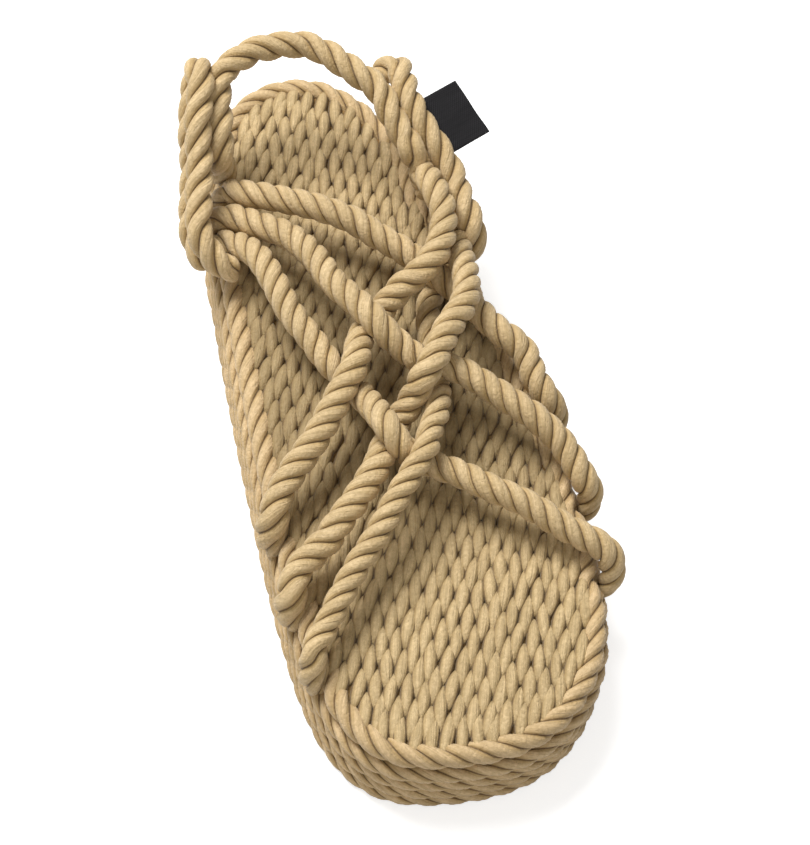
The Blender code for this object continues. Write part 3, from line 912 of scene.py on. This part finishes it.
def rope_material(name, crest, flank_shade, groove_shade, middle_darkening=0.0):
    """Twisted fibre rope: the fibre's colour on the crests, painted shade that darkens and warms the
    flanks, and dark brown painted shade in the grooves.

    The last argument is how much darker the fibre is made under the middle of the foot.
    """
    material, tree, shader = new_material(name)
    fibres = place_group(tree, FILAMENTS, Filament_Width=0.0006, Run=0.011, Lean=0.10)
    depth = attribute(tree, "depth")
    pick = tree.nodes.new("ShaderNodeTexWhiteNoise")
    pick.noise_dimensions = "1D"
    tree.links.new(attribute(tree, "number"), pick.inputs["W"])
    wear_and_shade = place_group(tree, WEAR_AND_GROOVE_SHADE, Patch=0.034)
    tree.links.new(depth, wear_and_shade.inputs["Hollow"])
    lighter = tuple(min(1.0, c * 1.22) for c in crest[:3]) + (1.0,)
    darker = tuple(c * 0.74 for c in flank_shade[:3]) + (1.0,)
    middle_dark_colour = tuple(c * 0.55 for c in flank_shade[:3]) + (1.0,)
    # painted shade: the crest colour goes over to the darker, warmer flank colour down the sides of each
    # strand
    colour = mix_colour(tree, ramp(tree, depth, 0.02, 0.62), crest, flank_shade)
    for mask, share, towards in (
        (fibres.outputs["Yarn"], 0.50, darker),
        (fibres.outputs["Tone"], 0.54, lighter),
        (pick.outputs["Value"], 0.16, darker),
        (wear_and_shade.outputs["Fade"], 0.16, FADED_FIBRE),
        (wear_and_shade.outputs["Blotch"], 0.12, darker),
        (wear_and_shade.outputs["Fuzz"], 0.34, darker),
        # painted shade in the grooves, stronger in slow patches
        (wear_and_shade.outputs["Patchy Groove Shade"], 0.35, darker),
        # darker under the middle of the foot
        (middle_of_foot_mask(tree), middle_darkening, middle_dark_colour),
        # painted shade: dark brown at the bottom of each groove
        (ramp(tree, depth, 0.55, 1.0), 0.86, groove_shade),
    ):
        colour = tint(tree, colour, mask, share, towards)
    tree.links.new(colour, shader.inputs["Base Color"])
    rough = maths(tree, "ADD", maths(tree, "MULTIPLY", fibres.outputs["Tone"], 0.16), 0.46)
    tree.links.new(rough, shader.inputs["Roughness"])
    fuzz_height = maths(tree, "MULTIPLY", wear_and_shade.outputs["Fuzz"], 0.22)
    height = maths(tree, "ADD", fibres.outputs["Height"], fuzz_height)
    add_bump(tree, shader, height, 1.0, 0.0008)
    shader.inputs["Specular IOR Level"].default_value = 0.42
    shader.inputs["Sheen Weight"].default_value = 0.22
    shader.inputs["Sheen Roughness"].default_value = 0.5
    shader.inputs["Sheen Tint"].default_value = (1.0, 0.9, 0.74, 1.0)
    return material


FADED_FIBRE = (0.56, 0.40, 0.21, 1.0)
# Each rope's fibre colour on the crests, then its painted flank shade and its painted groove shade
STRAP_FIBRE = rope_material("strap_rope_fibre", (0.725, 0.545, 0.305, 1.0),
                            (0.47, 0.31, 0.112, 1.0), (0.115, 0.057, 0.013, 1.0))
EDGE_FIBRE = rope_material("edge_rope_fibre", (0.735, 0.54, 0.305, 1.0),
                           (0.48, 0.315, 0.120, 1.0), (0.115, 0.057, 0.013, 1.0))
FOOTBED_FIBRE = rope_material("footbed_rope_fibre", (0.66, 0.495, 0.265, 1.0),
                              (0.375, 0.253, 0.095, 1.0), (0.130, 0.070, 0.018, 1.0), middle_darkening=0.54)


def filling_material():
    """The body between the outer ropes of the sole, coloured dark brown as painted shade where it shows
    through the gaps.
    """
    material, tree, shader = new_material("filling_in_painted_shade")
    wear_and_shade = place_group(tree, WEAR_AND_GROOVE_SHADE, Patch=0.004)
    # painted shade: two dark browns, varied in blotches
    colour = mix_colour(tree, wear_and_shade.outputs["Blotch"], (0.20, 0.115, 0.036, 1.0), (0.32, 0.20, 0.075, 1.0))
    tree.links.new(colour, shader.inputs["Base Color"])
    shader.inputs["Roughness"].default_value = 0.9
    return material


# Ropes of the upper
STRAP_LAYS = {"inner": 18.3 * MM, "outer": 20.7 * MM}

# how much of its thickness each strap keeps, pulled as tight as it is
STRAP_PULL = {
    "inner_back": 0.96,
    "inner_middle": 0.96,
    "inner_front": 0.94,
    "outer_back": 0.97,
    "outer_middle": 0.97,
    "outer_front": 0.86,
}


HEEL_ROPES = (
    # piece, points, steps to the side, solid
    ("heel_strap_rope", HEEL_STRAP, 0.0, "heel_strap"),
    ("inner_hitch_rope", INNER_HITCH, -1.0, "inner_hitch"),
    ("inner_hitch_leg_rope", INNER_LEG, -1.0, "inner_hitch"),
    ("outer_hitch_rope", OUTER_HITCH, 1.0, "outer_hitch"),
)


def make_straps():
    """The six ropes of the web, each one from edge to edge."""
    for index, (name, strap) in enumerate(STRAPS.items()):
        lay = STRAP_LAYS[name.split("_")[0]]
        rope = laid_rope(strap_points(strap), STRAP_ROPE * STRAP_PULL[name], lay, STRAP_STEP,
                         11 + index, samples=10, fullness=STRAP_FULLNESS)
        build_piece("strap_" + name, rope, STRAP_FIBRE, "strap_web")


def make_heel_ropes():
    """The rope behind the heel and the doubled ropes beside it.

    The inner hitch is a loop: its second leg lies behind the first.
    """
    for index, (name, table, beside, node) in enumerate(HEEL_ROPES):
        rope = laid_rope(heel_points(table, beside), HEEL_ROPE * HEEL_SWELLING, HEEL_LAY, STRAP_STEP,
                         31 + index, samples=10, fullness=HEEL_FULLNESS,
                         ends=(0.5 * HEEL_RADIUS, HEEL_RADIUS))
        build_piece(name, rope, STRAP_FIBRE, node)


# Label
def weave_group():
    """A plain weave: threads that go over and under each other along both lines of a map."""
    tree, start, end = new_group(
        "plain_weave",
        [("Warp Pitch", "NodeSocketFloat", 0.0006), ("Weft Pitch", "NodeSocketFloat", 0.0005)],
        [("Height", "NodeSocketFloat"), ("Thread", "NodeSocketFloat")])
    run, width = own_map(tree)
    warp = maths(tree, "DIVIDE", run, start.outputs["Warp Pitch"])
    weft = maths(tree, "DIVIDE", width, start.outputs["Weft Pitch"])
    warp_wave = maths(tree, "SINE", maths(tree, "MULTIPLY", warp, math.pi))
    weft_wave = maths(tree, "SINE", maths(tree, "MULTIPLY", weft, math.pi))
    tree.links.new(maths(tree, "MULTIPLY", warp_wave, weft_wave), end.inputs["Height"])
    thread = vector_of(tree, maths(tree, "FLOOR", warp), maths(tree, "MULTIPLY", weft, 0.04))
    tree.links.new(noise(tree, thread, 0.9, 2.0), end.inputs["Thread"])
    return tree


def label_material():
    """Plain black weave, matte, with its threads just raised."""
    material, tree, shader = new_material("black_woven_label")
    weave = place_group(tree, weave_group(), Warp_Pitch=0.0006, Weft_Pitch=0.00045)
    colour = mix_colour(tree, weave.outputs["Thread"], (0.004, 0.004, 0.005, 1.0),
                        (0.016, 0.015, 0.017, 1.0))
    tree.links.new(colour, shader.inputs["Base Color"])
    shader.inputs["Roughness"].default_value = 0.62
    shader.inputs["Specular IOR Level"].default_value = 0.22
    shader.inputs["Sheen Weight"].default_value = 0.06
    add_bump(tree, shader, weave.outputs["Height"], 0.5, 0.00012)
    return material


def make_label():
    """A thin woven tab on the outer side of the outer hitch rope.

    The section is a flat loop, thickest at its two selvedges, carried along
    the tab. Places rise and fall by a slow wave along the tab that grows
    towards its free side. The near side is tucked against the rope.
    """
    path = smooth_through(heel_points(OUTER_HITCH, 1.0), 12)[:, :3]
    nearest = np.argmin(np.abs(path[:, 0] - length_to_x(LABEL_ALONG) - LABEL_FORWARD))
    ahead = path[nearest + 6] - path[nearest - 6]
    ahead /= np.linalg.norm(ahead)
    out = np.cross((0.0, 0.0, 1.0), ahead)
    out *= np.sign(out[1]) / np.linalg.norm(out)
    up = np.cross(ahead, out)
    up *= np.sign(up[2])
    offsets = path - path[nearest]
    beside = np.abs(offsets @ ahead) < LABEL_LENGTH / 2
    bulge = (offsets[beside] @ out).max()
    middle = path[nearest] + out * (bulge + HEEL_RADIUS - LABEL_TUCK + LABEL_WIDTH / 2)
    rings, around = 64, 48
    along = np.linspace(-0.5, 0.5, rings)
    angle = 2 * math.pi * np.arange(around) / around
    flat = np.sign(np.cos(angle)) * np.abs(np.cos(angle)) ** 0.5
    thick = np.sign(np.sin(angle)) * np.abs(np.sin(angle)) ** 0.4
    selvedge = 1.0 + 0.25 * np.exp(-((np.abs(flat) - 0.90) / 0.06) ** 2)
    across = np.where(flat < 0, flat * 1.13, flat)
    near_end = np.clip((np.abs(along) - 0.47) / 0.03, 0.0, 1.0)
    taper = np.sqrt(1.0 - 0.93 * near_end ** 2)
    free = (across[None, :] + 1.0) / 2
    wave = LABEL_WAVE * np.sin(3.4 * math.pi * along + 0.6)[:, None] * free
    sag = -LABEL_SAG * free ** 2 * (1.0 + 0.5 * along[:, None])
    rise = wave + sag + 0.36 * LABEL_THICKNESS * (thick * selvedge)[None, :] * taper[:, None]
    side = across[None, :] * LABEL_WIDTH / 2 - 0.10 * MM * np.cos(9.0 * along)[:, None] * flat[None, :]
    places = (middle + along[:, None, None] * LABEL_LENGTH * ahead
              + side[:, :, None] * out + rise[:, :, None] * up)
    grid = (rings - 1, around)
    u = np.broadcast_to(along[:-1, None] * LABEL_LENGTH, grid)
    u_next = np.broadcast_to(along[1:, None] * LABEL_LENGTH, grid)
    v = np.broadcast_to(across[None, :] * LABEL_WIDTH / 2, grid)
    v_next = np.broadcast_to(np.roll(across, -1)[None, :] * LABEL_WIDTH / 2, grid)
    tab = {"places": places.reshape(-1, 3), "quads": tube_faces(rings, around),
           "corners": face_corners(u, v, u_next, v_next), "depth": np.zeros(rings * around),
           "number": np.zeros(rings * around), "crease": np.zeros(grid[0] * around, dtype=bool)}
    close_ends(tab, places[[0, -1]].mean(axis=1), rings, around)
    if np.dot(np.cross(ahead, out), up) < 0:
        tab["quads"] = tab["quads"][:, ::-1]
        tab["tris"] = tab["tris"][:, ::-1]
        tab["corners"] = tab["corners"].reshape(-1, 4, 2)[:, ::-1].reshape(-1, 2)
    build_piece("woven_label", tab, label_material(), "label")


# Ropes of the sole
def strap_feet():
    """Where each strap goes down into the edge, as places on the wall's outline."""
    ends = [strap[end][:2] for strap in STRAPS.values() for end in ("start", "end")]
    return np.array([wall_at(side, along)[0] for side, along in ends])


def ring_points(inset, level, push=0.0, drop=0.0):
    """A ring at one height, pushed in and down where a strap goes past it."""
    away = np.linalg.norm(WALL[:, None, :] - strap_feet()[None, :, :], axis=2)
    near = np.exp(-(away / STRAP_ROOM) ** 2).max(axis=1)[:, None]
    outline = inset_outline(inset + push * near)
    return np.hstack([outline, level - drop * near])


def make_edge_ropes():
    """The border of the footbed and the rows of rope below it."""
    path = ring_points(BORDER_INSET + BORDER_ROPE / 2, BORDER_LEVEL + BORDER_ROPE / 2,
                       push=BORDER_PUSH, drop=BORDER_DROP)
    border = laid_rope(path, BORDER_ROPE * BORDER_SWELLING, BORDER_LAY, BORDER_STEP, 41, closed=True)
    build_piece("border_laid_rope", border, EDGE_FIBRE, "border_rope")
    for row in range(EDGE_ROWS):
        level = BORDER_LEVEL - (row + 0.5) * EDGE_ROPE
        swelling = ROW_SWELLING
        if row == EDGE_ROWS - 1:
            level += LOWEST_LIFT
            swelling = LOWEST_SWELLING
        rope = laid_rope(ring_points(EDGE_ROPE / 2, level), EDGE_ROPE * swelling, EDGE_LAY, ROW_STEP,
                         42 + row, closed=True, samples=7)
        build_piece(f"edge_laid_rope_{row + 1}", rope, EDGE_FIBRE, f"edge_rope_{row + 1}")


def crossings(outline, y):
    """Lowest and highest x at which a closed outline crosses a line of constant y."""
    ahead = np.roll(outline, -1, axis=0)
    cut = (outline[:, 1] - y) * (ahead[:, 1] - y) < 0
    a, b = outline[cut], ahead[cut]
    x = a[:, 0] + (b[:, 0] - a[:, 0]) * (y - a[:, 1]) / (b[:, 1] - a[:, 1])
    return (x.min(), x.max()) if len(x) else None


def strand_places(inset, margin):
    """Middles of the strands that show on the footbed or the bottom, column by column.

    In each column they follow each other at the strand pitch, and each column
    is about a step further on than the last. The outermost ones of a column
    are drawn in to the margin from the outline.
    """
    outline = inset_outline(inset)
    columns = math.ceil(SOLE_WIDTH / CORE_ROPE / 2)
    middles = []
    for column in range(-columns, columns + 1):
        y = column * CORE_ROPE + SHIFT[1]
        ends = crossings(outline, y)
        if ends is None or ends[1] - ends[0] < 12 * MM:
            continue
        low, high = ends[0] + margin, ends[1] - margin
        first = math.floor(low / STRAND_PITCH) - 1
        last = math.ceil(high / STRAND_PITCH) + 1
        uneven = 0.10 * math.sin(5.1 * column) + 0.07 * math.sin(2.3 * column)
        phase = (STRAND_STEP * column + uneven) % 1.0
        x = (np.arange(first, last + 1) + phase) * STRAND_PITCH
        x += 0.6 * MM * slow_noise(len(x), 6, 300 + column)
        near = (x > low - 0.6 * STRAND_PITCH) & (x < high + 0.6 * STRAND_PITCH)
        x = np.clip(x[near], low, high)
        middles.append(np.stack([x, np.full(len(x), y)], axis=1))
    return np.vstack(middles)


def make_strands(name, middles, level, facing, rings, around, seed):
    """The strands that show between the grooves, each one an almond that leans to one side.

    At a share t of its half length an almond is (1 - t^2)^0.6 of its full
    width and (1 - t^2)^0.5 of its full height, and its middle line dips with
    t^2, so its tips go down beside those of its neighbours. Length, width,
    lean, height and side place differ a little from strand to strand.
    """
    rng = np.random.default_rng(seed)
    count = len(middles)
    own = rng.normal(size=(6, count, 1, 1)).clip(-2.0, 2.0)
    half_length = STRAND_LENGTH / 2 * (1.0 + 0.06 * own[0])
    half_width = STRAND_WIDTH / 2 * (1.0 + 0.05 * own[1])
    lean = -STRAND_LEAN * (1.0 + 0.22 * own[2])

    def places_at(t, turn):
        along = half_length * t
        across = half_width * (1.0 - t ** 2) ** 0.6 * np.cos(turn) + TIP_WANDER * own[5] * t ** 2
        x = middles[:, 0, None, None] + along * np.cos(lean) - across * np.sin(lean)
        y = middles[:, 1, None, None] + along * np.sin(lean) + across * np.cos(lean)
        lift = HEIGHT_WANDER * own[4] - STRAND_DIP * t ** 2
        z = level + facing * lift + STRAND_HEIGHT / 2 * (1.0 - t ** 2) ** 0.5 * np.sin(turn)
        places = np.broadcast_arrays(x, y + SIDE_WANDER * own[3], z)
        return np.stack(places, axis=-1).reshape(count, -1, 3)

    t = -np.cos(np.linspace(0.0, math.pi, rings + 2))[None, 1:-1, None]
    turn = (2 * math.pi * np.arange(around) / around)[None, None, :]
    tips = places_at(np.array([-1.0, 1.0])[None, :, None], np.zeros((1, 1, 1)))
    places = np.concatenate([places_at(t, turn), tips], axis=1)
    size = rings * around + 2
    shift = (np.arange(count) * size)[:, None, None]
    quads = (tube_faces(rings, around)[None] + shift).reshape(-1, 4)
    start = (np.arange(count) * 0.0173 % 1.0)[:, None, None]
    along = half_length * t + start
    v = STRAND_WIDTH / 2 * turn + 0.37 * start
    grid = (count, rings - 1, around)
    corners = face_corners(*[np.broadcast_to(part, grid) for part in (
        along[:, :-1], v, along[:, 1:], v + STRAND_WIDTH / 2 * 2 * math.pi / around)])
    # painted shade: the depth that darkens the colour grows down each strand's sides and towards its
    # tips, and is full at the tips
    side = np.clip((0.965 - facing * np.sin(turn)) / 0.36, 0.0, 1.0) + 0.0 * t
    depth = np.append(np.maximum(side, 0.9 * np.abs(t) ** 4), [1.0, 1.0])
    strands = {"places": places.reshape(-1, 3), "quads": quads, "corners": corners,
               "tris": (end_fans(rings, around)[None] + shift).reshape(-1, 3),
               "tri_corners": np.zeros((6 * around * count, 2)), "depth": np.tile(depth, count),
               "number": np.repeat(np.arange(count) + seed, size).astype(float),
               "crease": np.zeros(len(quads), dtype=bool)}
    build_piece(name, strands, FOOTBED_FIBRE, "sole_core")


def make_footbed():
    """The strands inside the border, in two halves along the middle of the sole."""
    middles = strand_places(BORDER_INSET + BORDER_ROPE - 1.0 * MM, STRAND_LENGTH * 0.20)
    level = SOLE_THICKNESS - STRAND_HEIGHT / 2 - 0.1 * MM
    inner = middles[:, 1] < SHIFT[1]
    make_strands("footbed_strands_inner", middles[inner], level, 1, rings=13, around=14, seed=71)
    make_strands("footbed_strands_outer", middles[~inner], level, 1, rings=13, around=14, seed=72)


def make_bottom():
    """The strands underneath, inside the lowest row of the edge."""
    middles = strand_places(EDGE_ROPE, STRAND_LENGTH * 0.36)
    level = STRAND_HEIGHT / 2 + 0.3 * MM
    make_strands("bottom_strands", middles, level, -1, rings=9, around=12, seed=73)


def make_filling():
    """The body of the sole behind the ropes: two stepped bands with a lid on each end."""
    wide = evenly(inset_outline(EDGE_ROPE * 0.8), 160, closed=True)
    narrow = evenly(inset_outline(BORDER_INSET + BORDER_ROPE * 0.8), 160, closed=True)
    low = CORE_ROPE * 0.6
    top = SOLE_THICKNESS - CORE_ROPE * 0.6
    rings = [(wide, low), (wide, BORDER_LEVEL - 1.0 * MM), (narrow, BORDER_LEVEL), (narrow, top)]
    places = np.vstack([np.hstack([ring, np.full((len(ring), 1), z)]) for ring, z in rings])
    count = len(wide)
    lid = np.arange(count)
    faces = tube_faces(len(rings), count)[:, [0, 3, 2, 1]].tolist()
    faces.append(lid.tolist())
    faces.append(((len(rings) - 1) * count + lid)[::-1].tolist())
    mesh = bpy.data.meshes.new("sole_filling")
    mesh.from_pydata(places.tolist(), [], faces)
    place_piece("sole_filling", mesh, filling_material(), "sole_core")


# Stage
def make_floor():
    """Plain white paper, which glows for the camera alone so that it doesn't light the sandal."""
    bpy.ops.mesh.primitive_plane_add(size=8.0, location=(0.0, 0.0, 0.0))
    floor = bpy.context.active_object
    floor.name = "floor"
    material, tree, shader = new_material("floor_paper")
    shader.inputs["Base Color"].default_value = (0.66, 0.66, 0.66, 1.0)
    shader.inputs["Roughness"].default_value = 0.9
    shader.inputs["Emission Color"].default_value = (1.0, 1.0, 1.0, 1.0)
    rays = tree.nodes.new("ShaderNodeLightPath")
    glow = maths(tree, "MULTIPLY", rays.outputs["Is Camera Ray"], 0.64)
    tree.links.new(glow, shader.inputs["Emission Strength"])
    floor.data.materials.append(material)


def area_light(name, place, size, power, colour=(1.0, 1.0, 1.0)):
    light = bpy.data.lights.new(name, "AREA")
    light.shape = "SQUARE"
    light.size = size
    light.energy = power
    light.color = colour
    obj = bpy.data.objects.new(name, light)
    obj.location = place
    aim = Vector((0.0, 0.0, 0.02)) - Vector(place)
    obj.rotation_euler = aim.to_track_quat("-Z", "Y").to_euler()
    bpy.context.scene.collection.objects.link(obj)


def make_lights():
    """A soft key light from the inner heel side, a weak fill from the toe, and a pale world."""
    world = bpy.data.worlds.new("studio")
    world.use_nodes = True
    background = world.node_tree.nodes["Background"]
    background.inputs["Color"].default_value = (1.0, 0.965, 0.90, 1.0)
    background.inputs["Strength"].default_value = 0.295
    bpy.context.scene.world = world
    area_light("key", (-0.82, -0.58, 1.5), 0.9, 43.0)
    area_light("fill", (1.3, -0.2, 1.1), 1.0, 6.5)


def make_camera():
    camera = bpy.data.cameras.new("camera")
    camera.sensor_fit = "HORIZONTAL"
    camera.sensor_width = SENSOR
    camera.lens = LENS
    camera.clip_start = 0.05
    camera.clip_end = 20.0
    obj = bpy.data.objects.new("camera", camera)
    place = Vector(CAMERA_PLACE)
    aim = Vector(LOOK_AT) - place
    turn = aim.to_track_quat("-Z", "Y").to_matrix().to_4x4()
    roll = Matrix.Rotation(CAMERA_ROLL, 4, "Z")
    obj.matrix_world = Matrix.Translation(place) @ turn @ roll
    bpy.context.scene.collection.objects.link(obj)
    bpy.context.scene.camera = obj


make_straps()
make_heel_ropes()
make_label()
make_edge_ropes()
make_footbed()
make_bottom()
make_filling()
make_floor()
make_lights()
make_camera()
bpy.context.scene.view_settings.view_transform = "Standard"
